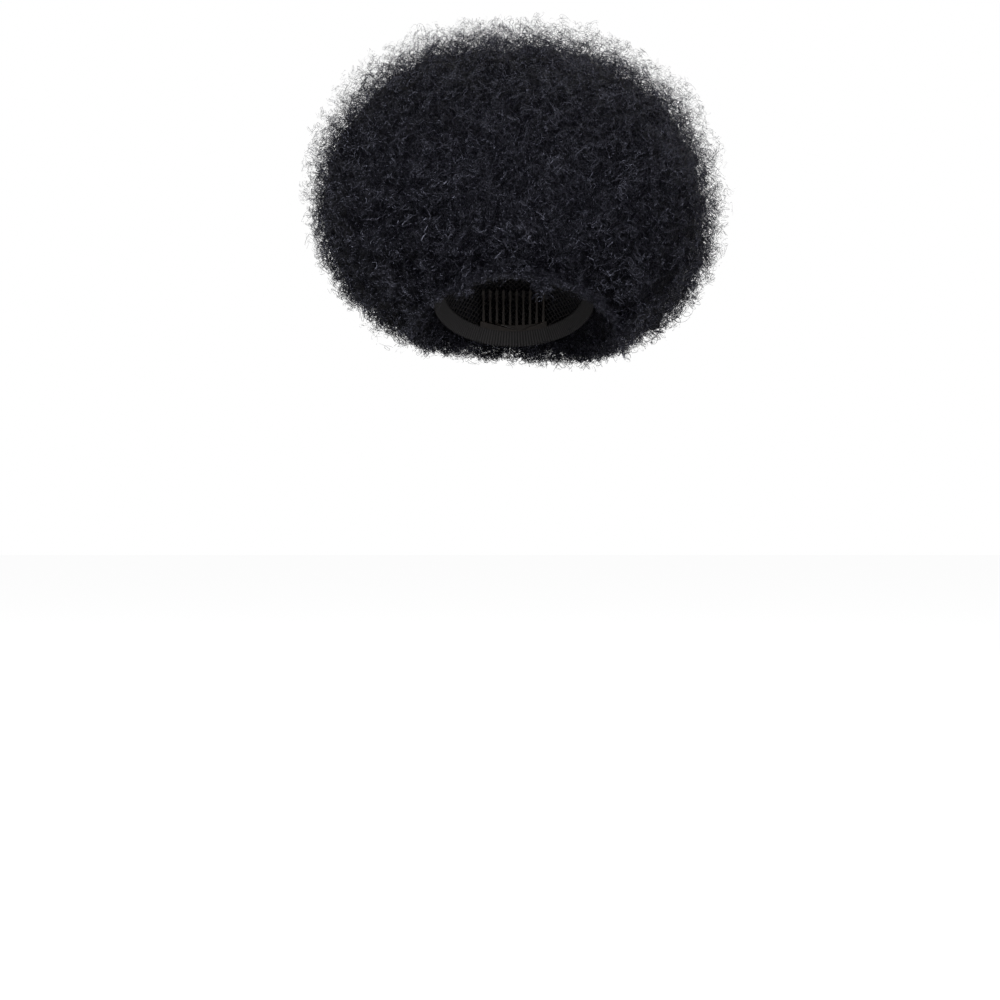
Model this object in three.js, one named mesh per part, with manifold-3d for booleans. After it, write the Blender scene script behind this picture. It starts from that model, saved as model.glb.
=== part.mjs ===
// Afro puff chignon: a round mass of kinky-curly hair locks on a domed stretch-net base.
// An elastic rim binds the base, and two combs inside it grip the wearer's own hair.
//
// Millimetres, +Z up as worn. The wearer faces -Y, and +X is at the wearer's left.
// The origin is the seat: the point of the crown under the middle of the base.

import * as THREE from "three";
import { mergeVertices } from "three/addons/utils/BufferGeometryUtils.js";
import Module from "manifold-3d";

const wasm = await Module();
wasm.setup();

const { degToRad } = THREE.MathUtils;

// Crown of the head that the piece fits, an ellipsoid given by its half sizes
const CROWN = { halfWidth: 75, halfDepth: 97, halfHeight: 98 };
const SEAT_LEAN = degToRad(20); // the base's axis leans back from upright
const FIT_GAP = 0.3; // between pieces that meet

// Base pieces: stand-off from the crown, wall thickness, and reach down the base's axis
const NET = { standOff: 0.8, thickness: 1.5, depth: 22 };
const RIM = { standOff: 0.5, thickness: 1.8, width: 7 };
const DOME_SEGMENTS = { round: 40, down: 22 };

// Combs: the spine lies along the net's lower edge, and the teeth point at the seat
const COMB = {
  teeth: 10,
  pitch: 4.6,
  toothWidth: 1.9,
  toothLength: 30,
  toothSteps: 3,
  tipLength: 3,
  spineWidth: 5,
  aboveEdge: 2,
  inset: 0.8,
  thickness: 1.8,
};

// Hair: half sizes of the outer form, and where its middle is from the seat
const PUFF = {
  halfWidth: 138,
  halfDepth: 127,
  halfHeightAbove: 123,
  halfHeightBelow: 100,
  squareness: 2.25,
  behindSeat: 15,
  aboveSeat: 35,
  roll: degToRad(5),
};

// Locks fused all over the backing, each a drop on its own axis
const LOCKS = { count: 128, length: 46, radius: 21.5, sides: 6, wobble: 3 };
const BACKING = { depth: 8, detail: 8 };
const DROP_PROFILE = [
  { along: 0, width: 0 },
  { along: 0.34, width: 0.66 },
  { along: 0.68, width: 1 },
  { along: 0.9, width: 0.66 },
  { along: 1, width: 0 },
];

// Curls that hang from the edge over the brow and the right temple of the view:
// the place across, the tip's height from the seat, and the curl's length and radius
const EDGE_CURLS = [
  { across: -31, tip: -33, length: 44, radius: 11 },
  { across: 17, tip: -32, length: 44, radius: 11 },
  { across: 71, tip: -63, length: 60, radius: 16 },
];
const CURL_LIFT = 3; // of a curl's axis off the crown
const CURL_STEEPNESS = 0.7; // height gained along a curl's length

const MATERIALS = {
  hair: new THREE.MeshStandardMaterial({ color: 0x16161b, roughness: 0.85 }),
  net: new THREE.MeshStandardMaterial({ color: 0x1f1c1b, roughness: 0.8 }),
  elastic: new THREE.MeshStandardMaterial({ color: 0x242122, roughness: 0.7 }),
  comb: new THREE.MeshStandardMaterial({ color: 0x1a1614, roughness: 0.35 }),
};

// Turns a closed three.js geometry into a solid that can be joined and cut.
function solidOf(geometry) {
  const bare = new THREE.BufferGeometry();
  bare.setAttribute("position", geometry.getAttribute("position"));
  bare.setIndex(geometry.getIndex());
  const merged = mergeVertices(bare, 1e-3);
  return new wasm.Manifold(
    new wasm.Mesh({
      numProp: 3,
      vertProperties: merged.getAttribute("position").array,
      triVerts: new Uint32Array(merged.getIndex().array),
    }),
  );
}

// Turns a solid back into a geometry.
function geometryOf(solid) {
  const mesh = solid.getMesh();
  const geometry = new THREE.BufferGeometry();
  geometry.setAttribute("position", new THREE.BufferAttribute(mesh.vertProperties, 3));
  geometry.setIndex(new THREE.BufferAttribute(mesh.triVerts, 1));
  geometry.computeVertexNormals();
  return geometry;
}

function namedMesh(name, geometry, material) {
  const mesh = new THREE.Mesh(geometry, material);
  mesh.name = name;
  return mesh;
}

// A repeatable scatter from -1 to 1, different for each index and salt.
function scatter(index, salt) {
  const wave = Math.sin(index * 12.9898 + salt * 78.233) * 43758.5453;
  return 2 * (wave - Math.floor(wave)) - 1;
}

// The crown grown by a stand-off, in the base's own frame: the seat at the origin, +Z out of the head.
function crownSolid(standOff) {
  const sphere = new THREE.SphereGeometry(1, DOME_SEGMENTS.round, DOME_SEGMENTS.down);
  sphere.rotateX(Math.PI / 2);
  sphere.scale(
    CROWN.halfWidth + standOff,
    CROWN.halfDepth + standOff,
    CROWN.halfHeight + standOff,
  );
  sphere.translate(0, 0, -CROWN.halfHeight);
  return solidOf(sphere);
}

// The stretch of a wall over the crown between two heights on the base's axis.
function crownWall(wall, lowest, highest) {
  const span = 4 * CROWN.halfDepth;
  const slab = new THREE.BoxGeometry(span, span, highest - lowest);
  slab.translate(0, 0, (highest + lowest) / 2);
  return crownSolid(wall.standOff + wall.thickness)
    .subtract(crownSolid(wall.standOff))
    .intersect(solidOf(slab));
}

function makeNet() {
  const clearOfTop = 2 * (NET.standOff + NET.thickness);
  return namedMesh(
    "base_net",
    geometryOf(crownWall(NET, -NET.depth, clearOfTop)),
    MATERIALS.net,
  );
}

function makeRim() {
  const top = -NET.depth - FIT_GAP;
  return namedMesh(
    "elastic_rim",
    geometryOf(crownWall(RIM, top - RIM.width, top)),
    MATERIALS.elastic,
  );
}

// The comb laid flat: X across the spine, Y from the spine to the tips.
function combOutline() {
  const width = COMB.teeth * COMB.pitch;
  const outline = [];
  for (let i = 0; i <= COMB.teeth; i += 1) {
    outline.push(new THREE.Vector2(-width / 2 + i * COMB.pitch, 0));
  }
  for (let tooth = COMB.teeth - 1; tooth >= 0; tooth -= 1) {
    const middle = -width / 2 + (tooth + 0.5) * COMB.pitch;
    const half = COMB.toothWidth / 2;
    const heights = Array.from(
      { length: COMB.toothSteps + 1 },
      (_, step) => COMB.spineWidth + (step / COMB.toothSteps) * COMB.toothLength,
    );
    outline.push(new THREE.Vector2(middle + COMB.pitch / 2, COMB.spineWidth));
    heights.forEach((height) => outline.push(new THREE.Vector2(middle + half, height)));
    outline.push(new THREE.Vector2(middle, heights.at(-1) + COMB.tipLength));
    heights.reverse();
    heights.forEach((height) => outline.push(new THREE.Vector2(middle - half, height)));
  }
  outline.push(new THREE.Vector2(-width / 2, COMB.spineWidth));
  return new THREE.Shape(outline);
}

// Bends the flat comb against the inside of the net. side is -1 at the front and 1 at the back.
function makeComb(name, side) {
  const geometry = new THREE.ExtrudeGeometry(combOutline(), {
    depth: COMB.thickness,
    bevelEnabled: false,
  });
  const outerStandOff = NET.standOff - COMB.inset;
  const edgeHeight = 1 - NET.depth / CROWN.halfHeight;
  const place = geometry.getAttribute("position");
  for (let i = 0; i < place.count; i += 1) {
    const across = place.getX(i);
    const along = place.getY(i) + COMB.aboveEdge;
    const standOff = outerStandOff - COMB.thickness + place.getZ(i);
    const narrowing = Math.sqrt(1 - (across / (CROWN.halfWidth + standOff)) ** 2);
    const angle = Math.acos(edgeHeight / narrowing) - along / CROWN.halfDepth;
    place.setXYZ(
      i,
      -side * across,
      side * narrowing * (CROWN.halfDepth + standOff) * Math.sin(angle),
      narrowing * (CROWN.halfHeight + standOff) * Math.cos(angle) - CROWN.halfHeight,
    );
  }
  geometry.computeVertexNormals();
  return namedMesh(name, geometry, MATERIALS.comb);
}

// How far the hair reaches from the puff's middle in a direction: a rounded, slightly square ball.
function puffReach(direction) {
  const halfHeight = direction.z > 0 ? PUFF.halfHeightAbove : PUFF.halfHeightBelow;
  const power = PUFF.squareness;
  const sum =
    Math.abs(direction.x / PUFF.halfWidth) ** power +
    Math.abs(direction.y / PUFF.halfDepth) ** power +
    Math.abs(direction.z / halfHeight) ** power;
  return sum ** (-1 / power);
}

// Evenly spread directions, one for each lock, on a golden-angle spiral from the top down.
function lockDirection(index) {
  const height = 1 - (2 * (index + 0.5)) / LOCKS.count;
  const turn = index * Math.PI * (3 - Math.sqrt(5));
  const ring = Math.sqrt(1 - height ** 2);
  return new THREE.Vector3(ring * Math.cos(turn), ring * Math.sin(turn), height);
}

// A drop-shaped lock of hair from root to tip.
function lockSolid(root, tip, radius) {
  const axis = tip.clone().sub(root);
  const length = axis.length();
  const profile = DROP_PROFILE.map(
    (row) => new THREE.Vector2(row.width * radius, row.along * length),
  );
  const drop = new THREE.LatheGeometry(profile, LOCKS.sides);
  const turn = new THREE.Quaternion().setFromUnitVectors(
    new THREE.Vector3(0, 1, 0),
    axis.normalize(),
  );
  drop.applyQuaternion(turn);
  drop.translate(root.x, root.y, root.z);
  return solidOf(drop);
}

// The inner body of the hair that every lock is fused to.
function backingSolid(puffPlace) {
  const ball = new THREE.IcosahedronGeometry(1, BACKING.detail);
  const place = ball.getAttribute("position");
  const point = new THREE.Vector3();
  for (let i = 0; i < place.count; i += 1) {
    point.fromBufferAttribute(place, i).normalize();
    point.multiplyScalar(puffReach(point) - BACKING.depth);
    place.setXYZ(i, point.x, point.y, point.z);
  }
  ball.applyMatrix4(puffPlace);
  return solidOf(ball);
}

// The crown's middle as worn, with the base leaning back.
const CROWN_MIDDLE = new THREE.Vector3(
  0,
  -CROWN.halfHeight * Math.sin(SEAT_LEAN),
  -CROWN.halfHeight * Math.cos(SEAT_LEAN),
);

// Where the front of the crown is, at a place across and a height from the seat.
function crownFront(across, height) {
  const share =
    (across / CROWN.halfWidth) ** 2 +
    ((height - CROWN_MIDDLE.z) / CROWN.halfHeight) ** 2;
  return CROWN_MIDDLE.y - CROWN.halfDepth * Math.sqrt(Math.max(0, 1 - share));
}

// A curl that hangs down the front of the crown to its tip.
function edgeCurlSolid(row) {
  const rootHeight = row.tip + row.length * CURL_STEEPNESS;
  const [tip, root] = [row.tip, rootHeight].map(
    (height) =>
      new THREE.Vector3(row.across, crownFront(row.across, height) - CURL_LIFT, height),
  );
  return lockSolid(root, tip, row.radius);
}

function makeHair() {
  const puffPlace = new THREE.Matrix4()
    .makeRotationY(PUFF.roll)
    .setPosition(0, PUFF.behindSeat, PUFF.aboveSeat);
  let hair = backingSolid(puffPlace);
  for (let i = 0; i < LOCKS.count; i += 1) {
    const direction = lockDirection(i);
    const reach = puffReach(direction) + LOCKS.wobble * scatter(i, 1);
    const tip = direction.clone().multiplyScalar(reach).applyMatrix4(puffPlace);
    const root = direction
      .clone()
      .multiplyScalar(reach - LOCKS.length)
      .applyMatrix4(puffPlace);
    const radius = LOCKS.radius * (1 + 0.12 * scatter(i, 2));
    hair = hair.add(lockSolid(root, tip, radius));
  }
  EDGE_CURLS.forEach((row) => {
    hair = hair.add(edgeCurlSolid(row));
  });
  const imprint = geometryOf(crownSolid(NET.standOff + NET.thickness + FIT_GAP));
  imprint.rotateX(-SEAT_LEAN);
  return namedMesh("hair_puff", geometryOf(hair.subtract(solidOf(imprint))), MATERIALS.hair);
}

const base = new THREE.Group();
base.rotation.x = -SEAT_LEAN;
base.add(makeNet(), makeRim(), makeComb("front_comb", -1), makeComb("back_comb", 1));

const chignon = new THREE.Group();
chignon.add(base, makeHair());

export default chignon;
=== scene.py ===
# %% [markdown]
# # An afro puff chignon
# This hairpiece is a ball of short, kinky-curly black hair sewn to a small domed net.
# An elastic band binds the net's edge, and two combs inside it grip the wearer's hair.
# The solids from the CAD part give the frame. Here each of them gets its real surface:
# thousands of fine curls for the hair, an open net, a ribbed band and satin combs.

import math

import bmesh
import bpy
import numpy as np
from mathutils import Matrix, Vector


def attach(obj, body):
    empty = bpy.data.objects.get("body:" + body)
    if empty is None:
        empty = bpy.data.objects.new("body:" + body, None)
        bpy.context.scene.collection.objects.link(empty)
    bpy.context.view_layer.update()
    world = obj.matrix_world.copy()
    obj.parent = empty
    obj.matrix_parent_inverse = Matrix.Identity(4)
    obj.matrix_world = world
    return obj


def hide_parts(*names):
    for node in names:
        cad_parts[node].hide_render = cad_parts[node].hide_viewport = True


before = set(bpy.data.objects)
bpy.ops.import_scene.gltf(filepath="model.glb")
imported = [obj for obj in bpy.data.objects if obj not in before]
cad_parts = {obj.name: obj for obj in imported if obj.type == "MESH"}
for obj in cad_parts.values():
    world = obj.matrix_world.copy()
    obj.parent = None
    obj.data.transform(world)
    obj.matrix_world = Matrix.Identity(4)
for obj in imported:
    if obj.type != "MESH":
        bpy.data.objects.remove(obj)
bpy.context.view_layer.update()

# %% [markdown]
# ## The forms that everything follows
# Two simple forms rule the shape. The crown is the rounded seat that the piece is worn on, an
# ellipsoid that leans back a little. The puff is a rounded, slightly square ball above it. Both
# could be meshes to measure against. Here they are functions of direction, which tell thousands
# of curls at once where the surface is and which way is out.

# %% The crown as functions
MM = 0.001
CROWN_HALF = np.array((75, 97, 98)) * MM
SEAT_LEAN = math.radians(20)
LEAN = np.array(Matrix.Rotation(-SEAT_LEAN, 3, "X"))
CROWN_EDGE_SOFTNESS = 0.001
TINY = 1e-6


def unit(vectors):
    """The same vectors at a length of 1."""
    return vectors / np.linalg.norm(vectors, axis=-1, keepdims=True)


def from_base(points):
    """Base frame to worn frame: the seat at the origin, and the base's axis leaning back."""
    return points @ LEAN.T


def crown_point(directions, stand_off):
    """The point over the crown in each direction from its middle, in the base frame."""
    return directions * (CROWN_HALF + stand_off) - (0, 0, CROWN_HALF[2])


def push_off_crown(points, stand_off, softness=CROWN_EDGE_SOFTNESS):
    """Points that lie inside the crown, moved out to its surface, with a soft turn at the edge."""
    local = (points @ LEAN + (0, 0, CROWN_HALF[2])) / (CROWN_HALF + stand_off)
    level = np.linalg.norm(local, axis=-1, keepdims=True).clip(TINY)
    outside = 1 + softness * np.logaddexp(0, (level - 1) / softness)
    return from_base(crown_point(local * outside / level, stand_off))


crown_middle = from_base(np.array((0, 0, -CROWN_HALF[2])))
print("middle of the crown in mm:", (crown_middle / MM).round(1))

# %% The puff as functions
PUFF_HALF = np.array((138, 127, 123)) * MM
PUFF_HALF_BELOW = 100 * MM
PUFF_MIDDLE = np.array((0, 15, 35)) * MM
PUFF_SQUARENESS = 2.25
PUFF_TILT = math.radians(5)
PUFF_ROLL = np.array(Matrix.Rotation(PUFF_TILT, 3, "Y"))


def puff_shares(directions):
    """Directions as shares of the puff's half sizes, and those sizes, which are less below."""
    half = np.where(directions[..., 2:] > 0, PUFF_HALF[2], PUFF_HALF_BELOW)
    half = np.concatenate([np.broadcast_to(PUFF_HALF[:2], directions[..., :2].shape), half], -1)
    return directions / half, half


def puff_reach(directions):
    """Distance from the puff's middle to its outer form."""
    share, _ = puff_shares(directions)
    return (np.abs(share) ** PUFF_SQUARENESS).sum(-1) ** (-1 / PUFF_SQUARENESS)


def puff_point(directions, height):
    """The point at a height over the puff's outer form, in the worn frame."""
    reach = puff_reach(directions) + height
    return directions * reach[..., None] @ PUFF_ROLL.T + PUFF_MIDDLE


def puff_outward(directions):
    """The outward direction of the puff's surface."""
    share, half = puff_shares(directions)
    slope = np.sign(share) * np.abs(share) ** (PUFF_SQUARENESS - 1) / half
    return unit(slope) @ PUFF_ROLL.T


def puff_height(points):
    """How far points lie outside the puff's outer form. Inside is negative."""
    local = (points - PUFF_MIDDLE) @ PUFF_ROLL
    distance = np.linalg.norm(local, axis=-1)
    return distance - puff_reach(local / distance[..., None])


print("seat lies inside the puff by mm:", -round(float(puff_height(np.zeros(3))) / MM, 1))

# %% [markdown]
# ## Camera, floor and light
# The piece is seen from the front and a little from below, because the camera stands lower than
# the piece is worn. The camera comes first, so that every later choice can be judged through it.
# The light is a plain white studio: a white surround, a pale floor and large soft lamps. A
# picture of a studio could light the piece too, but lamps can be judged one by one. The surround
# is dimmer in reflections and the floor is left out of them, so that the lamps draw the glints
# on the hair.

# %% Camera at the photograph's place
IMAGE_SIDE = 1000
METRES_PER_PIXEL = 0.665 * MM
CAMERA_DISTANCE = 1.6
SENSOR_MM = 36
PUFF_MIDDLE_PIXEL = 514
EYE_LEVEL = -158.6 * MM

camera_data = bpy.data.cameras.new("camera")
camera_data.sensor_width = SENSOR_MM
camera_data.lens = CAMERA_DISTANCE * SENSOR_MM / (IMAGE_SIDE * METRES_PER_PIXEL)
camera = bpy.data.objects.new("camera", camera_data)
camera.location = (
    (IMAGE_SIDE / 2 - PUFF_MIDDLE_PIXEL) * METRES_PER_PIXEL,
    crown_middle[1] - CAMERA_DISTANCE,
    EYE_LEVEL,
)
camera.rotation_euler = (math.pi / 2, 0, 0)
bpy.context.collection.objects.link(camera)
bpy.context.scene.camera = camera
print("lens in mm:", round(camera_data.lens, 1))

# %% White surround
SURROUND_WHITE = (1, 1, 1, 1)
SURROUND_STRENGTH = 1.0
SURROUND_IN_GLOSS = 0.25

view = bpy.context.scene.view_settings
view.view_transform = "Standard"
world = bpy.data.worlds.new("studio")
world.use_nodes = True
surround = world.node_tree.nodes["Background"]
surround.inputs["Color"].default_value = SURROUND_WHITE
ray = world.node_tree.nodes.new("ShaderNodeLightPath")
strength = world.node_tree.nodes.new("ShaderNodeMapRange")
strength.inputs["To Min"].default_value = SURROUND_STRENGTH
strength.inputs["To Max"].default_value = SURROUND_IN_GLOSS
world.node_tree.links.new(ray.outputs["Is Glossy Ray"], strength.inputs["Value"])
world.node_tree.links.new(strength.outputs["Result"], surround.inputs["Strength"])
bpy.context.scene.world = world
print("surround:", SURROUND_STRENGTH, "and in reflections:", SURROUND_IN_GLOSS)

# %% Pale floor
FLOOR_HEIGHT = -470 * MM
FLOOR_SIZE = 12
FLOOR_WHITE = (0.97, 0.97, 0.97, 1)


def node_material(name):
    """A material with one Principled shader, and its nodes and links."""
    material = bpy.data.materials.new(name)
    material.use_nodes = True
    nodes = material.node_tree.nodes
    return material, nodes, material.node_tree.links, nodes["Principled BSDF"]


floor_shape = bmesh.new()
bmesh.ops.create_grid(floor_shape, x_segments=1, y_segments=1, size=FLOOR_SIZE)
bmesh.ops.translate(floor_shape, verts=floor_shape.verts, vec=(0, 0, FLOOR_HEIGHT))
floor_mesh = bpy.data.meshes.new("floor")
floor_shape.to_mesh(floor_mesh)
floor_shape.free()
floor = bpy.data.objects.new("floor", floor_mesh)
bpy.context.collection.objects.link(floor)
floor_paint, _, _, shader = node_material("pale_floor")
shader.inputs["Base Color"].default_value = FLOOR_WHITE
shader.inputs["Roughness"].default_value = 1
shader.inputs["Specular IOR Level"].default_value = 0
floor_mesh.materials.append(floor_paint)
floor.visible_glossy = False
print("floor height in mm:", round(FLOOR_HEIGHT / MM))

# %% Soft lamps
# name, place, size and power of each lamp
LAMPS = (
    ("key", (-0.8, -1.6, 0.6), 0.9, 63),
    ("fill", (1.2, -1.4, -0.1), 1.0, 32),
    ("top", (0.1, 0.3, 1.5), 1.2, 6),
    ("rear", (0.3, 1.8, 0.3), 1.4, 26),
)

for lamp_name, place, size, power in LAMPS:
    lamp_data = bpy.data.lights.new(lamp_name, "AREA")
    lamp_data.shape = "DISK"
    lamp_data.size = size
    lamp_data.energy = power
    lamp = bpy.data.objects.new(lamp_name, lamp_data)
    lamp.location = place
    aim = Vector(PUFF_MIDDLE) - Vector(place)
    lamp.rotation_euler = aim.to_track_quat("-Z", "Y").to_euler()
    bpy.context.collection.objects.link(lamp)
print("lamps:", [row[0] for row in LAMPS])

# %% [markdown]
# ## The dense heart of the hair
# Under the loose curls the hair is so thick that no light comes through. This heart could be
# sculpted by hand, but it has to follow the same locks as the CAD solid, so it is worked out
# from the same numbers. It starts as a sphere of even triangles. Each corner moves out to about
# a centimetre under the puff's outer form, with part of the swell of each lock and of larger
# clumps. Low down the hair is more compact and is drawn in a little. The corners that fall
# inside the crown are pressed out of it, with a soft turn at the rim, which leaves the hollow
# that the piece is worn on. Three small locks hang from the front edge, each with a slim core.

# %% Directions of the locks
LOCK_COUNT = 128


def spiral_directions(count):
    """Evenly spread directions on a golden-angle spiral from the top down."""
    index = np.arange(count)
    height = 1 - (2 * (index + 0.5)) / count
    turn = index * math.pi * (3 - math.sqrt(5))
    ring = np.sqrt(1 - height**2)
    return np.stack([ring * np.cos(turn), ring * np.sin(turn), height], -1)


lock_directions = spiral_directions(LOCK_COUNT)
print("locks:", LOCK_COUNT)

# %% Swell of the locks
LOCK_WOBBLE = 3 * MM
LOCK_RADIUS_SPREAD = 0.12
LOCK_FALL_AT = np.array((0, 14.2, 21.5, 40)) * MM
LOCK_FALL = np.array((0, -4.6, -14.7, -46)) * MM
BETWEEN_LOCKS = -8 * MM
LOCK_SOFTNESS = 1.6 * MM
# the three factors of the usual sine scatter
SCATTER_STEP = 12.9898
SCATTER_SALT = 78.233
SCATTER_SIZE = 43758.5453


def scatter(index, salt):
    """The repeatable scatter from -1 to 1 that the CAD part uses for its locks."""
    wave = np.sin(index * SCATTER_STEP + salt * SCATTER_SALT) * SCATTER_SIZE
    return 2 * (wave - np.floor(wave)) - 1


lock_index = np.arange(LOCK_COUNT)
lock_tips = LOCK_WOBBLE * scatter(lock_index, 1)
lock_widths = 1 + LOCK_RADIUS_SPREAD * scatter(lock_index, 2)


def lock_swell(directions):
    """Height of the locks' rounded tips over the outer form, softly joined."""
    angle = np.arccos(np.clip(directions @ lock_directions.T, -1, 1))
    across = angle * puff_reach(directions)[:, None] / lock_widths
    heights = lock_tips + np.interp(across, LOCK_FALL_AT, LOCK_FALL)
    total = np.exp(heights / LOCK_SOFTNESS).sum(-1) + math.exp(BETWEEN_LOCKS / LOCK_SOFTNESS)
    return LOCK_SOFTNESS * np.log(total)


tip_swell = lock_swell(lock_directions) / MM
print("locks swell by mm:", round(tip_swell.min(), 1), "to", round(tip_swell.max(), 1))

# %% How the hair settles
HAIR_SEED = 41
SWELL_SHARE = 0.4
# looseness of the hair at shares of the height, from the bottom up
LOOSE_AT = (-0.4, 0, 0.5, 1)
LOOSE = (0.58, 0.76, 1.0, 1.0)
# how far the compact hair low down is drawn in
DRAWN_IN_AT = (-0.45, -0.1)
DRAWN_IN = (-2.4 * MM, 0)
# clumps of several locks: their size, how they bulge and dip, and their lift from low to high
CLUMP_SIZE = 38 * MM
CLUMP_BULGE = 1.6
CLUMP_DIP = 0.8
CLUMP_LIFT_AT = (-0.4, 0.2)
CLUMP_LIFT = (3.0 * MM, 2.0 * MM)

rng = np.random.default_rng(HAIR_SEED)


def ripple_field(wavelength, waves=7):
    """A smooth, repeatable wobble from about -1 to 1 through space."""
    ways = unit(rng.normal(size=(waves, 3))) * 2 * math.pi / wavelength
    phases = rng.uniform(0, 2 * math.pi, waves)
    return lambda points: np.sin(points @ ways.T + phases).sum(-1) / math.sqrt(waves)


clump_ripple = ripple_field(CLUMP_SIZE)


def looseness(directions):
    """How loose the hair is: full at the top, and more compact round the lower edge."""
    return np.interp(directions[:, 2], LOOSE_AT, LOOSE)


def settled(directions, heights):
    """Heights over the outer form: lumpy from lock to lock, compact and drawn in low down."""
    lumps = SWELL_SHARE * lock_swell(directions)
    clumps = CLUMP_BULGE * np.abs(clump_ripple(directions * PUFF_HALF)) - CLUMP_DIP
    clumps = clumps * np.interp(directions[:, 2], CLUMP_LIFT_AT, CLUMP_LIFT)
    drawn_in = np.interp(directions[:, 2], DRAWN_IN_AT, DRAWN_IN)
    return looseness(directions) * (heights + lumps) + clumps + drawn_in


lumpiness = settled(lock_directions, 0) / MM
print("settled form in mm:", round(lumpiness.min(), 1), "to", round(lumpiness.max(), 1))

# %% Heart of the puff
HEART_SUBDIVISIONS = 6
HEART_DEPTH = -11.5 * MM
# how much deeper the heart lies round the lower edge
HEART_EDGE = (-0.3 * MM, 0)
HEART_CROWN_GAP = 2.9 * MM
HEART_RIM_SOFTNESS = 0.018
# size and height of the two ripples that roughen the heart
COARSE_SIZE = 14 * MM
COARSE_HEIGHT = 0.9 * MM
FINE_SIZE = 9 * MM
FINE_HEIGHT = 1.3 * MM

coarse_ripple = ripple_field(COARSE_SIZE)
fine_ripple = ripple_field(FINE_SIZE)


def heart_height(directions):
    """Height of the heart, which lies deeper round the lower edge so that curls make the edge."""
    return settled(directions, HEART_DEPTH) + np.interp(directions[:, 2], DRAWN_IN_AT, HEART_EDGE)


heart_shape = bmesh.new()
bmesh.ops.create_icosphere(heart_shape, subdivisions=HEART_SUBDIVISIONS, radius=1)
heart_directions = unit(np.array([v.co for v in heart_shape.verts]))
heart_points = puff_point(heart_directions, heart_height(heart_directions))
rough = COARSE_HEIGHT * coarse_ripple(heart_points) + FINE_HEIGHT * fine_ripple(heart_points)
heart_points += puff_outward(heart_directions) * rough[:, None]
heart_points = push_off_crown(heart_points, HEART_CROWN_GAP, HEART_RIM_SOFTNESS)
for vert, place in zip(heart_shape.verts, heart_points):
    vert.co = place
print("heart corners:", len(heart_points))

# %% Cores of the hanging locks
# locks that hang from the edge: place across, tip height from the seat, length and radius
EDGE_LOCKS = np.array(((-31, -33, 44, 11), (17, -32, 44, 11), (71, -63, 60, 16))) * MM
EDGE_LOCK_LIFT = 3 * MM
EDGE_LOCK_STEEPNESS = 0.7
CORE_SUBDIVISIONS = 3
# size of a core as a share of its lock, and where its middle lies from root to tip
CORE_SHARE = 0.3
CORE_PLACE = 0.36


def crown_front(across, height):
    """The front of the crown at a place across and a height from the seat."""
    share = (across / CROWN_HALF[0]) ** 2 + ((height - crown_middle[2]) / CROWN_HALF[2]) ** 2
    return crown_middle[1] - CROWN_HALF[1] * math.sqrt(max(0, 1 - share)) - EDGE_LOCK_LIFT


def edge_lock_ends(row):
    """Root and tip of a hanging lock."""
    across, tip, length, _ = row
    heights = (tip + length * EDGE_LOCK_STEEPNESS, tip)
    return [np.array((across, crown_front(across, height), height)) for height in heights]


for row in EDGE_LOCKS:
    *_, radius = row
    root, tip = (Vector(end) for end in edge_lock_ends(row))
    axis = tip - root
    thick = radius * CORE_SHARE
    core = bmesh.ops.create_icosphere(heart_shape, subdivisions=CORE_SUBDIVISIONS, radius=1)
    turn = axis.to_track_quat("Z", "Y").to_matrix().to_4x4()
    size = Matrix.Diagonal((thick, thick, axis.length * CORE_SHARE, 1))
    form = Matrix.Translation(root.lerp(tip, CORE_PLACE)) @ turn @ size
    bmesh.ops.transform(heart_shape, matrix=form, verts=core["verts"])
    for vert in core["verts"]:
        vert.co = push_off_crown(np.array(vert.co), HEART_CROWN_GAP)
heart_mesh = bpy.data.meshes.new("hair_heart")
heart_shape.to_mesh(heart_mesh)
heart_shape.free()
heart_mesh.polygons.foreach_set("use_smooth", np.ones(len(heart_mesh.polygons), bool))
print("heart triangles:", len(heart_mesh.polygons))

# %% [markdown]
# ## Single curls as narrow ribbons
# A kinky hair is a small irregular coil. Blender can grow hair as curves, but the finished piece
# has to be a mesh, and a round tube for each hair would need three times as many faces. So each
# curl is a ribbon that only looks round, because the normals of its two edges lean apart. Its
# middle line rises from the root, bends over and coils as it goes, and the ribbon is finer at
# the tip. Thousands are needed, so the points of all of them are worked out together as arrays
# and joined in a few meshes. Each curl also gets a strip of the texture map: its tone across,
# and root to tip along.

# %% Directions across a curl
NEARLY_UPRIGHT = 0.9


def across_axes(axes):
    """Two unit vectors across each axis."""
    leaning = np.abs(axes[:, 2:]) < NEARLY_UPRIGHT
    guide = np.where(leaning, np.array((0, 0, 1.0)), np.array((1.0, 0, 0)))
    first = unit(np.cross(axes, guide))
    return first, np.cross(axes, first)


def random_across(axes):
    """A random unit vector across each axis."""
    first, second = across_axes(axes)
    turn = rng.uniform(0, 2 * math.pi, (len(axes), 1))
    return first * np.cos(turn) + second * np.sin(turn)


print("directions across an upright axis:", *across_axes(np.array([(0, 0, 1.0)])))

# %% Lines of the curls
CURL_STEPS = 18
# steps in a turn of the coil, and how many more for each millimetre of its radius
TURN_STEPS = 3
TURN_STEPS_PER_MM = 2.2
TURNS_SPREAD = (0.75, 1.1)
# how uneven a coil is: along its length, between its two sides, in radius, kinks and wandering
DRIFT = 0.3
SECOND_RATE = (0.86, 1.14)
BELLY = 0.3
RADIUS_WAVE = 0.3
RADIUS_WAVE_RATE = 0.37
RADIUS_WAVE_SHIFT = 3
KINK = 0.3
KINK_RATE = (0.5, 1.1)
WANDER = 0.3 * MM
# how early a curl rises, and how late it bends over
RISE_EASE = 1.7
BEND_EASE = 1.2


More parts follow.
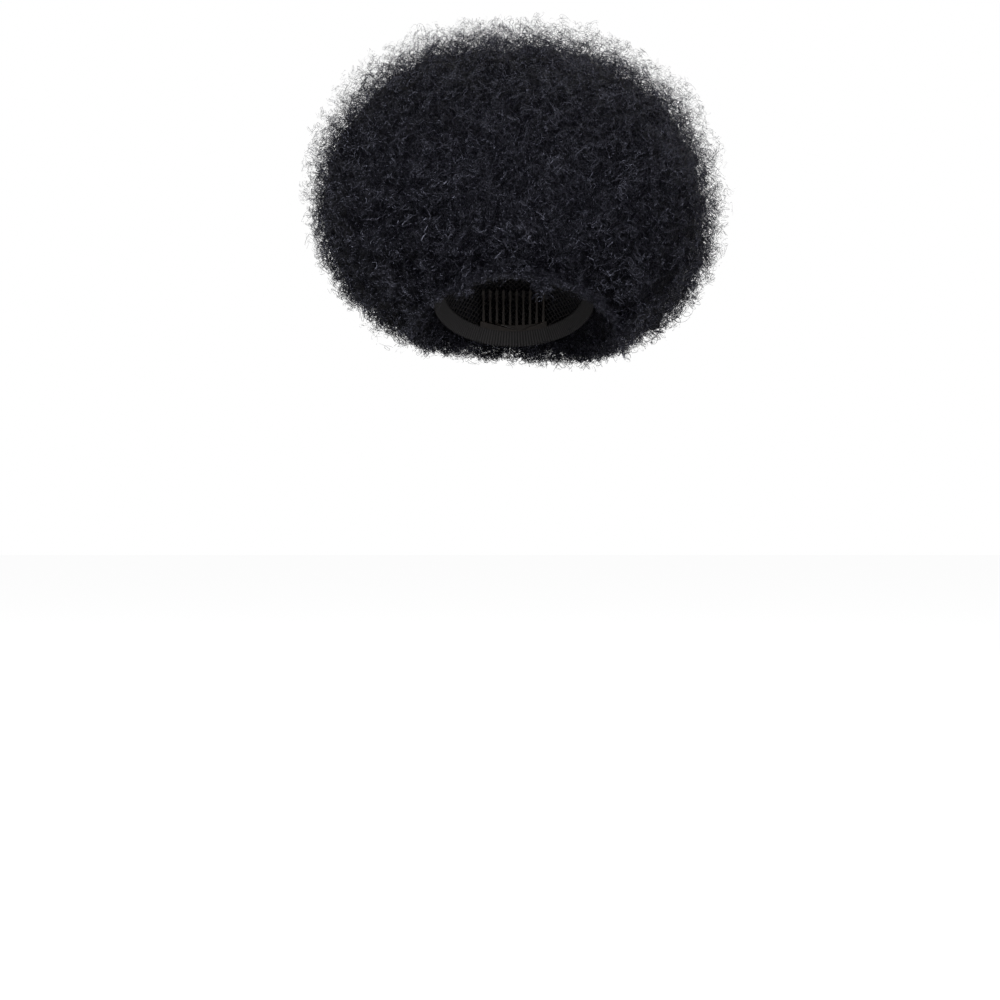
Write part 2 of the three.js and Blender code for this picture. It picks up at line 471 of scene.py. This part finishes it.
def curl_lines(roots, outward, sideways, rises, travels, radii, flatness=0):
    """The middle line of each curl: it rises from its root, leans over and coils."""
    count = len(roots)
    along = np.linspace(0, 1, CURL_STEPS + 1)
    coil_axis = unit(rng.normal(size=(count, 3)) + flatness * outward)
    coil_first, coil_second = across_axes(coil_axis)
    phase = rng.uniform(0, 2 * math.pi, (count, 1))
    drift = rng.normal(0, DRIFT, (count, 1))
    second_rate = rng.uniform(*SECOND_RATE, (count, 1))
    kink_rate = rng.uniform(*KINK_RATE, (count, 1))
    turn_steps = TURN_STEPS + TURN_STEPS_PER_MM * radii[:, None] / MM
    turns = CURL_STEPS / turn_steps * rng.uniform(*TURNS_SPREAD, (count, 1))
    angle = phase + 2 * math.pi * turns * (along + drift * along * (1 - along))
    radius = radii[:, None] * (1 - BELLY + BELLY * np.sin(math.pi * along))
    wave = np.sin(angle * RADIUS_WAVE_RATE + RADIUS_WAVE_SHIFT * phase)
    radius = radius * (1 + RADIUS_WAVE * wave)
    rise = rises[:, None] * (1 - (1 - along) ** RISE_EASE)
    travel = travels[:, None] * along**BEND_EASE
    lines = roots[:, None] + outward[:, None] * rise[..., None]
    lines = lines + sideways[:, None] * travel[..., None]
    lines = lines + coil_first[:, None] * (radius * np.cos(angle))[..., None]
    lines = lines + coil_second[:, None] * (radius * np.sin(angle * second_rate))[..., None]
    lines = lines + coil_axis[:, None] * (KINK * radius * np.sin(angle * kink_rate))[..., None]
    wander = WANDER * MM / (MM + radii)[:, None, None]
    return lines + np.cumsum(rng.normal(0, 1, lines.shape) * wander, axis=1)


print("steps in a curl:", CURL_STEPS)

# %% Edges and map of the ribbons
ROUNDNESS = 1.2
TIP_TAPER = 0.45
MAP_MARGIN = 0.01
MAP_HALF_STRIP = 0.002


def ribbon_points(lines, thickness):
    """Both edges of each ribbon, facing out, and their normals, which lean apart."""
    count, rings = lines.shape[:2]
    along = np.linspace(0, 1, rings)
    tangents = unit(np.gradient(lines, axis=1))
    across = unit(np.cross(tangents, unit(rng.normal(size=(count, 1, 3)))))
    facing = np.cross(across, tangents)
    turned = np.sign(((lines - PUFF_MIDDLE) * facing).sum((1, 2)))[:, None, None]
    across, facing = across * turned, facing * turned
    half = thickness[:, None, None] / 2 * (1 - TIP_TAPER * along**3)[:, None]
    points = np.stack([lines - across * half, lines + across * half], 2)
    normals = unit(np.stack([facing - ROUNDNESS * across, facing + ROUNDNESS * across], 2))
    return points, normals


def ribbon_map(tones, rings):
    """A strip of the texture map for each ribbon: its tone across, and root to tip along."""
    along = np.linspace(0, 1, rings)
    edges = np.array((-MAP_HALF_STRIP, MAP_HALF_STRIP))
    inner = 1 - 2 * MAP_MARGIN
    map_points = np.empty((len(tones), rings, 2, 2), np.float32)
    map_points[..., 0] = (MAP_MARGIN + inner * tones)[:, None, None] + edges
    map_points[..., 1] = (MAP_MARGIN + inner * along)[None, :, None]
    return map_points


print("map strip of a curl:", 2 * MAP_HALF_STRIP, "of the map's width")


# %% Ribbons along the lines
def ribbon_mesh(name, lines, thickness, tones):
    """One mesh of ribbons along lines, with a strip of map for each."""
    count, rings = lines.shape[:2]
    points, normals = ribbon_points(lines, thickness)
    index = np.arange(count * rings * 2).reshape(count, rings, 2)
    near, far = index[:, :-1], index[:, 1:]
    quads = np.stack([near[..., 0], near[..., 1], far[..., 1], far[..., 0]], -1).ravel()
    mesh = bpy.data.meshes.new(name)
    mesh.vertices.add(index.size)
    mesh.vertices.foreach_set("co", points.astype(np.float32).ravel())
    mesh.loops.add(len(quads))
    mesh.loops.foreach_set("vertex_index", quads.astype(np.int32))
    mesh.polygons.add(len(quads) // 4)
    mesh.polygons.foreach_set("loop_start", np.arange(0, len(quads), 4, dtype=np.int32))
    layer = mesh.uv_layers.new(name="OFBake")
    layer.uv.foreach_set("vector", ribbon_map(tones, rings).reshape(-1, 2)[quads].ravel())
    mesh.update(calc_edges=True)
    mesh.validate()
    mesh.normals_split_custom_set_from_vertices(normals.reshape(-1, 3))
    return mesh


print("triangles in a curl:", 2 * CURL_STEPS)

# %% [markdown]
# ## Where the curls grow
# The frizz is densest just under the puff's outer form and thins out to a soft halo that ends
# about 14 mm past it. An even scatter through the depth would give a hard edge, so a short table
# says how dense the hair is at each height. Deep hairs cling together and are drawn thicker.
# Those of the halo are thin and bend in open loops. Low down the hair is more compact, with
# fewer, thicker and wider curls. Nothing grows where the crown is.

# %% Density of the frizz
# height over the outer form in mm, density, thickness of a hair and radius of its coil in mm
FRIZZ_TABLE = np.array(
    (
        (-11.5, 11, 0.8, 0.9),
        (-7.5, 12.5, 0.54, 0.9),
        (-4, 14.5, 0.34, 0.9),
        (-1.3, 15.5, 0.27, 1.0),
        (1.3, 13, 0.22, 1.25),
        (4, 10.2, 0.185, 1.5),
        (6.7, 8.2, 0.165, 1.7),
        (9.3, 6, 0.155, 1.8),
        (11.5, 3.2, 0.15, 1.8),
        (13.5, 0.8, 0.135, 1.7),
    )
)
FRIZZ_HEIGHTS, FRIZZ_DENSITY, FRIZZ_THICKNESS, FRIZZ_RADIUS = (FRIZZ_TABLE * (MM, 1, MM, MM)).T
HEIGHT_STEPS = 400
# a curl grows where this height is clear of the crown, and a little off its even place
EDGE_HEIGHT = -5 * MM
PLACE_SCATTER = 0.9


def frizz_heights(count):
    """Random heights that follow the density table."""
    fine = np.linspace(FRIZZ_HEIGHTS[0], FRIZZ_HEIGHTS[-1], HEIGHT_STEPS)
    grown = np.cumsum(np.interp(fine, FRIZZ_HEIGHTS, FRIZZ_DENSITY))
    return np.interp(rng.uniform(0, grown[-1], count), grown, fine)


def growing_directions(count):
    """Evenly scattered directions that miss the crown."""
    directions = spiral_directions(count)
    shift = rng.normal(0, PLACE_SCATTER / math.sqrt(count), directions.shape)
    directions = rng.permutation(unit(directions + shift))
    places = puff_point(directions, settled(directions, EDGE_HEIGHT))
    free = np.linalg.norm(push_off_crown(places, 0) - places, axis=-1) < TINY
    return directions[free]


print("halo ends at mm:", round(FRIZZ_HEIGHTS[-1] / MM, 1))

# %% Sizes of the frizz
FRIZZ_CURLS = 26000
# in millimetres: how far a curl rises and travels, and how much further the deepest travel
FRIZZ_RISE = (3.5, 7)
FRIZZ_TRAVEL = (4, 11)
DEEP_TRAVEL = (0, 6)
# shares by which the deepest and the outermost curls rise less
DEEP_SHORTER = 0.3
HALO_SHORTER = 0.55
# compact hair has wider coils, by millimetres, and thicker hairs, less so where it is loose
COMPACT_WIDER = (0.4, 3.2)
COMPACT_THICKNESS = 2.2
LOOSE_THINNER = 1.2
# how much single curls differ in radius and thickness
RADIUS_SPREAD = (0.6, 1.4)
THICKNESS_SPREAD = (0.8, 1.1)
# how deep in the heart the roots may start
ROOT_DEPTH = 0.5 * MM
curl_sets = []


def millimetres(span, count):
    """Random sizes in a span that is given in millimetres."""
    return rng.uniform(*span, count) * MM


def add_curls(label, lines, thickness):
    """Keeps a set of curls until all are joined."""
    curl_sets.append((lines, thickness))
    print(label, len(lines))


print("places tried for frizz:", FRIZZ_CURLS)

# %% Frizz over the puff
directions = growing_directions(FRIZZ_CURLS)
heights = frizz_heights(len(directions))
chance = looseness(directions) ** np.where(heights > 0, 2, 1)
grown = rng.uniform(0, 1, len(directions)) < chance
directions, heights = directions[grown], heights[grown]
count = len(directions)
outward = puff_outward(directions)
loose = looseness(directions)
depth_share = np.clip(heights / FRIZZ_HEIGHTS[0], 0, 1)
outer_share = np.clip(heights / FRIZZ_HEIGHTS[-1], 0, 1)
shorter = 1 - DEEP_SHORTER * depth_share - HALO_SHORTER * outer_share
rises = millimetres(FRIZZ_RISE, count) * shorter
radii = np.interp(heights, FRIZZ_HEIGHTS, FRIZZ_RADIUS) * rng.uniform(*RADIUS_SPREAD, count)
radii = radii + millimetres(COMPACT_WIDER, count) * (1 - loose)
middles = settled(directions, heights)
starts = np.maximum(middles - rises / 2, heart_height(directions) - ROOT_DEPTH)
lines = curl_lines(
    puff_point(directions, starts),
    outward,
    random_across(outward),
    rises * loose,
    millimetres(FRIZZ_TRAVEL, count) + millimetres(DEEP_TRAVEL, count) * depth_share,
    radii,
)
thickness = np.interp(heights, FRIZZ_HEIGHTS, FRIZZ_THICKNESS)
thickness = thickness * (COMPACT_THICKNESS - LOOSE_THINNER * loose)
add_curls("frizz curls:", lines, thickness * rng.uniform(*THICKNESS_SPREAD, count))

# %% [markdown]
# ## Ringlets, and hair against the crown
# All over the puff some hairs keep a wider coil, and these ringlets show singly between the
# frizz. Under the puff the hair lies pressed against the crown, between the net and the
# hairline. At the hairline short curls stray down past the edge. They start deeper at the back,
# where the fringe would be thin otherwise, and more of them wrap the hanging locks. One kind of
# curl could serve for all, but real hair is never so even, so each kind has its own sizes.

# %% Ringlets over the puff
RINGLETS = 4600
RINGLET_LOWEST = -0.8
# in millimetres: heights over the outer form, and the lift of the lowest ringlets
RINGLET_HEIGHTS = (-9, 0)
RINGLET_LIFT_AT = (-0.3, 0.1)
RINGLET_LIFT = (3.5, 0)
RINGLET_FLATNESS = 1

directions = growing_directions(RINGLETS)
directions = directions[directions[:, 2] > RINGLET_LOWEST]
count = len(directions)
outward = puff_outward(directions)
lift = np.interp(directions[:, 2], RINGLET_LIFT_AT, RINGLET_LIFT)
heights = (rng.uniform(*RINGLET_HEIGHTS, count) + lift) * MM
lines = curl_lines(
    puff_point(directions, settled(directions, heights)),
    outward,
    random_across(outward),
    rises=millimetres((0, 3), count),
    travels=millimetres((2, 8), count),
    radii=millimetres((1.8, 3.6), count),
    flatness=RINGLET_FLATNESS,
)
add_curls("ringlets:", lines, thickness=millimetres((0.26, 0.4), count))

# %% Curls under the puff
UNDER_CURLS = 3600
UNDER_DEPTH = -7 * MM
# the ring of the crown below the net, as shares of its half height, and the curls' height there
RING_HEIGHTS = (-0.25, 0.71)
RING_STAND_OFF = 2.4 * MM


def crown_ring(count):
    """Scattered points on the crown outside the net, with the outward direction there."""
    height = rng.uniform(*RING_HEIGHTS, count)
    turn = rng.uniform(0, 2 * math.pi, count)
    ring = np.sqrt(1 - height**2)
    directions = np.stack([ring * np.cos(turn), ring * np.sin(turn), height], -1)
    points = from_base(crown_point(directions, RING_STAND_OFF))
    return points, from_base(unit(directions / CROWN_HALF))


points, outward = crown_ring(UNDER_CURLS)
inside = puff_height(points) < UNDER_DEPTH
points, outward = points[inside], outward[inside]
count = len(points)
lines = curl_lines(
    points,
    outward,
    random_across(outward),
    rises=millimetres((-2, 0.5), count),
    travels=millimetres((3, 10), count),
    radii=millimetres((1.6, 3.4), count),
)
add_curls("curls under the puff:", lines, thickness=millimetres((0.32, 0.5), count))

# %% Curls at the hairline
HAIRLINE_CURLS = 34000
# how deep under the outer form the curls start, in front and at the back
HAIRLINE_TOP = -1.5 * MM
HAIRLINE_DEEPEST = -9 * MM
HAIRLINE_DEEPEST_BACK = -16 * MM
BACK_FROM = 20 * MM
SLOPE_STEP = 1 * MM
STRAY_TURN = 0.8
# in millimetres: how far a curl usually strays, and at most
STRAY_USUAL = 3
STRAY_MOST = 9

points, outward = crown_ring(HAIRLINE_CURLS)
height = puff_height(points)
deepest = np.where(points[:, 1] > BACK_FROM, HAIRLINE_DEEPEST_BACK, HAIRLINE_DEEPEST)
near = (height > deepest) & (height < HAIRLINE_TOP)
points, outward, height = points[near], outward[near], height[near]
count = len(points)
slope = np.stack([puff_height(points + SLOPE_STEP * way) - height for way in np.eye(3)], -1)
away = unit(slope - outward * (slope * outward).sum(-1, keepdims=True))
away = unit(away + STRAY_TURN * random_across(outward))
lines = curl_lines(
    points,
    outward,
    away,
    rises=millimetres((-1, 4), count),
    travels=rng.exponential(STRAY_USUAL, count).clip(0, STRAY_MOST) * MM,
    radii=millimetres((1.2, 2.6), count),
)
add_curls("curls at the hairline:", lines, thickness=millimetres((0.26, 0.42), count))

# %% Curls of the hanging locks
LOCK_CURLS = 360
# shares of a lock's length where curls start, and of its radius where they start and rise
LOCK_SPOTS = (0.1, 0.86)
LOCK_DEPTHS = (0.25, 0.6)
LOCK_RISE = (0, 0.25)
# how far their directions scatter, and where along its length the lock is fattest
LOCK_SCATTER = 0.4
FATTEST_SPOT = 1.05 / 2

for row in EDGE_LOCKS:
    *_, radius = row
    root, tip = edge_lock_ends(row)
    axis = tip - root
    spot = rng.uniform(*LOCK_SPOTS, LOCK_CURLS)
    fat = np.sqrt(1 - (2 * spot - 2 * FATTEST_SPOT).clip(-1, 1) ** 2)
    sides = unit(rng.normal(size=(LOCK_CURLS, 3)))
    depth = radius * rng.uniform(*LOCK_DEPTHS, LOCK_CURLS) * fat
    lines = curl_lines(
        root + axis * spot[:, None] + sides * depth[:, None],
        sides,
        unit(axis + rng.normal(0, LOCK_SCATTER, sides.shape) * np.linalg.norm(axis)),
        rises=rng.uniform(*LOCK_RISE, LOCK_CURLS) * radius,
        travels=millimetres((1, 5), LOCK_CURLS),
        radii=millimetres((1.4, 2.6), LOCK_CURLS),
    )
    add_curls("curls of a hanging lock:", lines, thickness=millimetres((0.25, 0.4), LOCK_CURLS))

# %% [markdown]
# ## Hair colour
# The hair is a soft black with a trace of blue, and each hair catches the light as a thin line.
# It could be one flat black, but then the curls would run together. So the colour comes from the
# curl's own tone, and roots are darker than tips. The heart is painted nearly black as shade,
# because little light gets down between the curls. It has a fine coiled relief, and the colour
# painted on it is lighter on the crests and darker in the hollows: painted highlight and shade.

# %% Finish of the curls
CURL_DARK = (0.0009, 0.0009, 0.0015, 1)
CURL_MID = (0.0022, 0.0022, 0.0034, 1)
CURL_LIGHT = (0.0140, 0.0140, 0.0180, 1)
CURL_MID_AT = 0.75
COOL_GLOSS = (0.77, 0.79, 1.0, 1)
ROOT_LIGHT = 0.5
TIP_LIGHT = 1.2

curl_paint, nodes, links, shader = node_material("kinky_hair")
curl_map = nodes.new("ShaderNodeUVMap")
curl_map.uv_map = "OFBake"
split = nodes.new("ShaderNodeSeparateXYZ")
links.new(curl_map.outputs["UV"], split.inputs["Vector"])
tone_ramp = nodes.new("ShaderNodeValToRGB")
tone_ramp.color_ramp.elements[0].color = CURL_DARK
tone_ramp.color_ramp.elements[1].color = CURL_LIGHT
tone_ramp.color_ramp.elements.new(CURL_MID_AT).color = CURL_MID
links.new(split.outputs["X"], tone_ramp.inputs["Fac"])
root_to_tip = nodes.new("ShaderNodeMapRange")
root_to_tip.inputs["To Min"].default_value = ROOT_LIGHT
root_to_tip.inputs["To Max"].default_value = TIP_LIGHT
links.new(split.outputs["Y"], root_to_tip.inputs["Value"])
tint = nodes.new("ShaderNodeVectorMath")
tint.operation = "SCALE"
links.new(tone_ramp.outputs["Color"], tint.inputs[0])
links.new(root_to_tip.outputs["Result"], tint.inputs["Scale"])
links.new(tint.outputs["Vector"], shader.inputs["Base Color"])
shader.inputs["Roughness"].default_value = 0.3
shader.inputs["Specular IOR Level"].default_value = 0.5
shader.inputs["Specular Tint"].default_value = COOL_GLOSS
print("finish of the curls:", curl_paint.name)

# %% Finish of the heart
# painted shade: the heart is painted darker than the curls because little light gets down between
# them
HEART_DARK = (0.0003, 0.0003, 0.0005, 1)
HEART_LIGHT = (0.0020, 0.0020, 0.0031, 1)
HEART_DARK_UP_TO = 0.5
COIL_RELIEF = 1.0 * MM


def add_piece(name, mesh, material, slot, *nodes):
    """Puts a mesh in the scene as a piece of the hairpiece, in place of the CAD nodes named."""
    mesh.materials.append(material)
    piece = bpy.data.objects.new(name, mesh)
    bpy.context.collection.objects.link(piece)
    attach(piece, "root")
    if nodes:
        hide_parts(*nodes)


heart_paint, nodes, links, shader = node_material("hair_depth")
place = nodes.new("ShaderNodeTexCoord")
swirls = nodes.new("ShaderNodeTexWave")
swirls.inputs["Scale"].default_value = 150
swirls.inputs["Distortion"].default_value = 16
swirls.inputs["Detail"].default_value = 2
swirls.inputs["Detail Scale"].default_value = 1.3
links.new(place.outputs["Object"], swirls.inputs["Vector"])
bump = nodes.new("ShaderNodeBump")
bump.inputs["Strength"].default_value = 1.0
bump.inputs["Distance"].default_value = COIL_RELIEF
links.new(swirls.outputs["Fac"], bump.inputs["Height"])
links.new(bump.outputs["Normal"], shader.inputs["Normal"])
# painted highlight and shade: the swirl crests that the bump raises are painted lighter, and its
# hollows darker
painted_highlight_and_shade_ramp = nodes.new("ShaderNodeValToRGB")
painted_highlight_and_shade_ramp.color_ramp.elements[0].position = HEART_DARK_UP_TO
painted_highlight_and_shade_ramp.color_ramp.elements[0].color = HEART_DARK
painted_highlight_and_shade_ramp.color_ramp.elements[1].color = HEART_LIGHT
links.new(swirls.outputs["Fac"], painted_highlight_and_shade_ramp.inputs["Fac"])
links.new(painted_highlight_and_shade_ramp.outputs["Color"], shader.inputs["Base Color"])
shader.inputs["Roughness"].default_value = 0.4
shader.inputs["Specular IOR Level"].default_value = 0.12
shader.inputs["Specular Tint"].default_value = COOL_GLOSS
add_piece("hair_heart", heart_mesh, heart_paint, "hair", "hair_puff")
print("finish of the heart:", heart_paint.name)

# %% [markdown]
# ## Curls joined by region
# Each curl could be an object of its own, but thousands of objects are slow to handle, and one
# mesh of all of them would be too large. So the curls are joined by region: four meshes round
# the upper half and four round the lower. Springy hair that meets the crown bends back off it,
# so each line is pressed out of the crown and goes a little further. The tone varies from hair
# to hair, and a little from clump to clump.

# %% Lines clear of the crown, and tones
CROWN_CLEAR = 0.5 * MM
BOUNCE = 0.6
TONE_SPREAD = 0.16

tone_ripple = ripple_field(CLUMP_SIZE)
all_lines = np.concatenate([lines for lines, _ in curl_sets])
pressed = push_off_crown(all_lines, CROWN_CLEAR)
all_lines = pressed + BOUNCE * (pressed - all_lines)
all_thickness = np.concatenate([thickness for _, thickness in curl_sets])
curl_middles = all_lines.mean(axis=1)
all_tones = rng.uniform(0, 1, len(all_lines)) + TONE_SPREAD * tone_ripple(curl_middles)
all_tones = all_tones.clip(0, 1)
print("curls in all:", len(all_lines))

# %% Eight meshes of curls
SIDES = ("front", "left", "back", "right")
LEVELS = ("upper", "lower")
QUARTER = math.pi / 2

region_names = [f"curls_{level}_{side}" for level in LEVELS for side in SIDES]
ways = unit(curl_middles - PUFF_MIDDLE)
azimuth = np.arctan2(ways[:, 0], -ways[:, 1])
region_of = np.floor((azimuth + QUARTER / 2) % (4 * QUARTER) / QUARTER).astype(int)
region_of = region_of + np.where(ways[:, 2] < 0, len(SIDES), 0)
triangle_total = 0
for region, piece_name in enumerate(region_names):
    chosen = region_of == region
    mesh = ribbon_mesh(piece_name, all_lines[chosen], all_thickness[chosen], all_tones[chosen])
    add_piece(piece_name, mesh, curl_paint, "hair")
    triangles = 2 * len(mesh.polygons)
    triangle_total += triangles
    print(piece_name, "triangles:", triangles)
print("triangles in all curls:", triangle_total)

# %% [markdown]
# ## The net
# The hair is sewn to a cup of open net. The cords could be a pattern on a plain cup, but real
# gaps let light through. So a flat grid is cut round, laid over the crown and turned into cords,
# which gives the diamond meshes of a stretched net. A soft noise stands for the twist of the cord.

# %% Shape of the net
NET_STAND_OFF = 1.5 * MM
NET_DEPTH = 22 * MM
NET_MESH = 3.2 * MM
NET_CORD = 0.6 * MM
DIAMOND_TURN = math.radians(45)

edge_angle = math.acos(1 - NET_DEPTH / CROWN_HALF[2])
mesh_angle = NET_MESH / CROWN_HALF.mean()
tucked_angle = edge_angle + mesh_angle
net_rows = round(2 * tucked_angle / mesh_angle)
net_shape = bmesh.new()
bmesh.ops.create_grid(
    net_shape,
    x_segments=net_rows,
    y_segments=net_rows,
    size=tucked_angle,
    matrix=Matrix.Rotation(DIAMOND_TURN, 4, "Z"),
)
outside = [v for v in net_shape.verts if v.co.length > tucked_angle]
bmesh.ops.delete(net_shape, geom=outside, context="VERTS")
for vert in net_shape.verts:
    angle = vert.co.length
    way = vert.co.normalized() * math.sin(angle)
    direction = np.array((way.x, way.y, math.cos(angle)))
    vert.co = from_base(crown_point(direction, NET_STAND_OFF))
bmesh.ops.recalc_face_normals(net_shape, faces=net_shape.faces)
bmesh.ops.wireframe(
    net_shape,
    faces=net_shape.faces[:],
    thickness=NET_CORD,
    use_boundary=True,
    use_even_offset=True,
    use_replace=True,
)
net_mesh = bpy.data.meshes.new("stretch_net")
net_shape.to_mesh(net_mesh)
net_shape.free()
print("net rows:", net_rows, "faces:", len(net_mesh.polygons))

# %% Finish of the net
NET_DARK = (0.003, 0.0027, 0.0027, 1)
NET_LIGHT = (0.010, 0.009, 0.009, 1)

net_paint, nodes, links, shader = node_material("net_cord")
place = nodes.new("ShaderNodeTexCoord")
twist = nodes.new("ShaderNodeTexNoise")
twist.inputs["Scale"].default_value = 2200
links.new(place.outputs["Object"], twist.inputs["Vector"])
net_ramp = nodes.new("ShaderNodeValToRGB")
net_ramp.color_ramp.elements[0].color = NET_DARK
net_ramp.color_ramp.elements[1].color = NET_LIGHT
links.new(twist.outputs["Fac"], net_ramp.inputs["Fac"])
links.new(net_ramp.outputs["Color"], shader.inputs["Base Color"])
shader.inputs["Roughness"].default_value = 0.6
shader.inputs["Specular IOR Level"].default_value = 0.2
add_piece("stretch_net", net_mesh, net_paint, "net", "base_net")
print("finish of the net:", net_paint.name)

# %% [markdown]
# ## The elastic band
# Woven elastic has ribs that run round it, crossed by fine threads. Both could be relief in the
# finish, but the ribs show at the band's edge, so they are in the shape: a ribbed section is
# spun round the net. The threads are too fine for that, so they are relief and tone, counted by
# the angle round the band.

# %% Shape of the band
BAND_TOP = -21.2 * MM
BAND_BOTTOM = -29.3 * MM
BAND_ROWS = 11
BAND_INNER = 0.5 * MM
BAND_OUTER = 2.1 * MM
BAND_RIB = 0.4 * MM
BAND_STEPS = 180

crown_size = CROWN_HALF.mean()
section = []
for row in range(BAND_ROWS):
    height = BAND_TOP + (BAND_BOTTOM - BAND_TOP) * row / (BAND_ROWS - 1)
    rib = BAND_RIB if row % 2 else 0
    section.append((height, BAND_OUTER - rib))
for height, outer in reversed(section[:]):
    section.append((height, BAND_INNER + BAND_OUTER - outer))
band_shape = bmesh.new()
ring = []
for height, stand_off in section:
    angle = math.acos(1 + height / CROWN_HALF[2])
    reach = 1 + stand_off / crown_size
    ring.append(band_shape.verts.new((reach * math.sin(angle), 0, reach * math.cos(angle))))
for start, end in zip(ring, ring[1:] + ring[:1]):
    band_shape.edges.new((start, end))
bmesh.ops.spin(
    band_shape,
    geom=band_shape.verts[:] + band_shape.edges[:],
    cent=(0, 0, 0),
    axis=(0, 0, 1),
    angle=2 * math.pi,
    steps=BAND_STEPS,
    use_merge=True,
)
for vert in band_shape.verts:
    vert.co = from_base(crown_point(np.array(vert.co), 0))
bmesh.ops.recalc_face_normals(band_shape, faces=band_shape.faces)
band_mesh = bpy.data.meshes.new("ribbed_band")
band_shape.to_mesh(band_mesh)
band_shape.free()
band_mesh.polygons.foreach_set("use_smooth", np.ones(len(band_mesh.polygons), bool))
print("band faces:", len(band_mesh.polygons))

# %% Finish of the band
BAND_THREADS = 420
THREAD_RELIEF = 0.3 * MM
BAND_DARK = (0.001, 0.001, 0.0012, 1)
BAND_LIGHT = (0.013, 0.012, 0.0125, 1)

band_paint, nodes, links, shader = node_material("elastic_thread")
place = nodes.new("ShaderNodeTexCoord")
upright = nodes.new("ShaderNodeMapping")
upright.inputs["Rotation"].default_value = (SEAT_LEAN, 0, 0)
links.new(place.outputs["Object"], upright.inputs["Vector"])
around = nodes.new("ShaderNodeTexGradient")
around.gradient_type = "RADIAL"
links.new(upright.outputs["Vector"], around.inputs["Vector"])
threads = nodes.new("ShaderNodeMath")
threads.operation = "PINGPONG"
threads.inputs[1].default_value = 1 / BAND_THREADS
links.new(around.outputs["Fac"], threads.inputs[0])
thread_height = nodes.new("ShaderNodeMapRange")
thread_height.inputs["From Max"].default_value = 1 / BAND_THREADS
links.new(threads.outputs["Value"], thread_height.inputs["Value"])
bump = nodes.new("ShaderNodeBump")
bump.inputs["Strength"].default_value = 0.6
bump.inputs["Distance"].default_value = THREAD_RELIEF
links.new(thread_height.outputs["Result"], bump.inputs["Height"])
links.new(bump.outputs["Normal"], shader.inputs["Normal"])
band_ramp = nodes.new("ShaderNodeValToRGB")
band_ramp.color_ramp.elements[0].color = BAND_DARK
band_ramp.color_ramp.elements[1].color = BAND_LIGHT
links.new(thread_height.outputs["Result"], band_ramp.inputs["Fac"])
links.new(band_ramp.outputs["Color"], shader.inputs["Base Color"])
shader.inputs["Roughness"].default_value = 0.7
shader.inputs["Specular IOR Level"].default_value = 0.15
add_piece("ribbed_band", band_mesh, band_paint, "elastic", "elastic_rim")
print("finish of the band:", band_paint.name)

# %% [markdown]
# ## The combs
# Each comb is moulded in one piece from dark plastic. The CAD shape could be rebuilt with more
# detail, but the hair hides it, so it is kept and only gets a finish. Handled plastic is a little
# uneven, so a soft noise varies both its tone and its gloss.

# %% Satin plastic of the combs
COMB_DARK = (0.004, 0.0034, 0.003, 1)
COMB_LIGHT = (0.010, 0.008, 0.007, 1)
SATIN = (0.24, 0.42)

comb_paint, nodes, links, shader = node_material("comb_plastic")
place = nodes.new("ShaderNodeTexCoord")
handling = nodes.new("ShaderNodeTexNoise")
handling.inputs["Scale"].default_value = 160
handling.inputs["Detail"].default_value = 4
links.new(place.outputs["Object"], handling.inputs["Vector"])
comb_ramp = nodes.new("ShaderNodeValToRGB")
comb_ramp.color_ramp.elements[0].color = COMB_DARK
comb_ramp.color_ramp.elements[1].color = COMB_LIGHT
links.new(handling.outputs["Fac"], comb_ramp.inputs["Fac"])
links.new(comb_ramp.outputs["Color"], shader.inputs["Base Color"])
gloss = nodes.new("ShaderNodeMapRange")
gloss.inputs["To Min"].default_value = SATIN[0]
gloss.inputs["To Max"].default_value = SATIN[1]
links.new(handling.outputs["Fac"], gloss.inputs["Value"])
links.new(gloss.outputs["Result"], shader.inputs["Roughness"])
shader.inputs["Specular IOR Level"].default_value = 0.15
for comb_name in ("front_comb", "back_comb"):
    for material_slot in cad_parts[comb_name].material_slots:
        material_slot.material = comb_paint
print("combs finished in", comb_paint.name)
